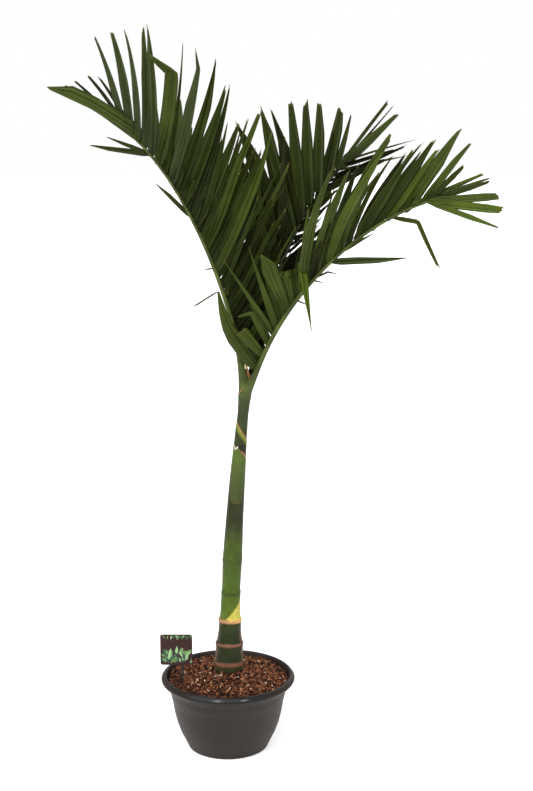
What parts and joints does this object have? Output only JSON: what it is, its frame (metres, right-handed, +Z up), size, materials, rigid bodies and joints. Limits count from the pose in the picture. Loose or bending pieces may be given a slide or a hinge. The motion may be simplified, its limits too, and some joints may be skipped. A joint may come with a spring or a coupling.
{
  "type": "potted betel nut palm",
  "caption": "Young betel nut palm with a slim ringed stem and arching feathered fronds, standing in a round nursery pot.",
  "frame": {"origin": "centre of the flat underside of the pot, on the floor", "axes": "+Z up, +X to the side that the stem leans and its right-hand frond reaches, -Y towards the viewer"},
  "size_m": [1.0532, 0.712, 1.7872],
  "materials": {
    "pot_plastic": "satin moulded plastic, anthracite grey",
    "soil": "loose coir and bark chips",
    "stem": "smooth green stem with pale brown leaf scars",
    "sheath": "satin green leaf sheath",
    "leaf": "ribbed dark green leaf",
    "card": "satin printed card",
    "pick": "black moulded plastic"
  },
  "bodies": {
    "root": {"pot": "pot_plastic", "soil": "soil", "trunk": "stem", "outer_sheath": "sheath", "inner_sheath": "sheath", "left_frond": "leaf", "right_frond": "leaf", "back_frond": "leaf", "label_card": "card", "label_pick": "pick"}
  },
  "joints": []
}
